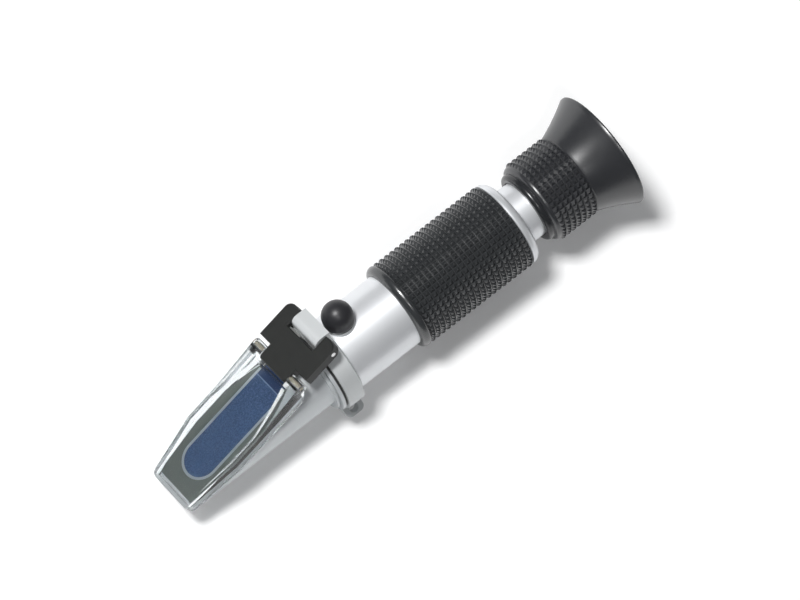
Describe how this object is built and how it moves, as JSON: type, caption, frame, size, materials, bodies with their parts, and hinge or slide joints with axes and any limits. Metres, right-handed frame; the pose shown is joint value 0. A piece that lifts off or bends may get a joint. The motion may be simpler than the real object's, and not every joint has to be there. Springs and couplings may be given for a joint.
{
  "type": "brix refractometer",
  "caption": "Hand-held optical refractometer with a sloping prism, hinged clear cover plate, knurled grip and focusing eyepiece in a rubber cup.",
  "frame": {"origin": "centre of the underside: below the middle of the length, level with the eyecup rim's lowest point", "axes": "+X along the optical axis from the prism tip to the eyecup, +Z to the prism's side, +Y to the left of the user's view of the deck"},
  "size_m": [0.169, 0.0396, 0.0412],
  "materials": {
    "satin_alloy": "satin",
    "collar_alloy": "matte",
    "head_alloy": "matte",
    "prism_glass": "polished, blue-looking over a dark chamber",
    "bezel_silver": "satin silver bead",
    "seal_rubber": "matte",
    "grip_rubber": "matte, pyramid knurl",
    "cup_rubber": "matte",
    "cap_rubber": "satin",
    "block_plastic": "matte",
    "core_plastic": "glossy",
    "clear_plastic": "clear moulded plate",
    "lens_glass": "coated",
    "reticle_glass": "plain ruled disc",
    "blackened_metal": "matt black",
    "pin_brass": "turned",
    "pin_steel": "ground",
    "spring_steel": "bright strip"
  },
  "bodies": {
    "body": {"prism_head": "head_alloy", "main_prism": "prism_glass", "prism_bezel": "bezel_silver", "prism_seal": "seal_rubber", "head_gasket": "seal_rubber", "collar": "collar_alloy", "collar_set_screws": "pin_steel", "main_tube": "satin_alloy", "grip_sleeve": "grip_rubber", "rear_end_ring": "satin_alloy", "eyepiece_tube": "satin_alloy", "light_baffle": "blackened_metal", "reticle_cell": "blackened_metal", "reticle": "reticle_glass", "reticle_retaining_ring": "blackened_metal", "lens_mount": "blackened_metal", "lever_pin": "pin_steel", "calibration_bush": "collar_alloy", "focus_guide_screw": "pin_steel"},
    "lens_carrier": {"lens_lever": "blackened_metal", "bimetal_strip": "spring_steel", "strip_rivets": "pin_brass", "objective_cell": "blackened_metal", "objective_lens": "lens_glass", "objective_ring": "blackened_metal"},
    "calibration_screw": {"calibration_screw": "pin_brass"},
    "calibration_cap": {"calibration_cap": "cap_rubber"},
    "hinge_block": {"hinge_block": "block_plastic", "block_hinge_pin": "pin_steel", "hinge_spring": "spring_steel"},
    "cover": {"cover_plate": "clear_plastic", "cover_pin": "pin_brass"},
    "eyepiece_carrier": {"eyepiece_cell": "blackened_metal", "field_lens": "lens_glass", "lens_spacer": "blackened_metal", "eye_lens": "lens_glass", "eye_lens_ring": "blackened_metal"},
    "focus_ring": {"focus_core": "core_plastic", "core_retaining_ring": "blackened_metal", "eyecup": "cup_rubber"}
  },
  "joints": [
    {"name": "block_hinge", "type": "hinge", "parent": "body", "child": "hinge_block", "pos_m": [-0.02459, 0, 0.03858], "axis": [0, 1, 0], "range_deg": [0, 100]},
    {"name": "cover_hinge", "type": "hinge", "parent": "hinge_block", "child": "cover", "pos_m": [-0.03784, 0, 0.03406], "axis": [0, 1, 0], "range_deg": [0, 75]},
    {"name": "cap_pull", "type": "slide", "parent": "body", "child": "calibration_cap", "axis": [0, 0, 1], "range_m": [0, 0.009]},
    {"name": "calibration_turn", "type": "hinge", "parent": "body", "child": "calibration_screw", "pos_m": [-0.015, 0, 0.0269], "axis": [0, 0, 1], "range_deg": [-180, 180]},
    {"name": "lens_tilt", "type": "hinge", "parent": "body", "child": "lens_carrier", "pos_m": [-0.0234, 0, 0.026], "axis": [0, 1, 0], "range_deg": [-1.75, 1.75]},
    {"name": "focus_travel", "type": "slide", "parent": "body", "child": "eyepiece_carrier", "axis": [1, 0, 0], "range_m": [-0.0025, 0.0035]},
    {"name": "focus_turn", "type": "hinge", "parent": "eyepiece_carrier", "child": "focus_ring", "pos_m": [0.0536, 0, 0.0198], "axis": [1, 0, 0], "range_deg": [-150, 210]}
  ],
  "couplings": [
    {"joint": "lens_tilt", "follows": "calibration_turn", "ratio": 0.0094735},
    {"joint": "focus_turn", "follows": "focus_travel", "rad_per_m": 1047.2}
  ]
}
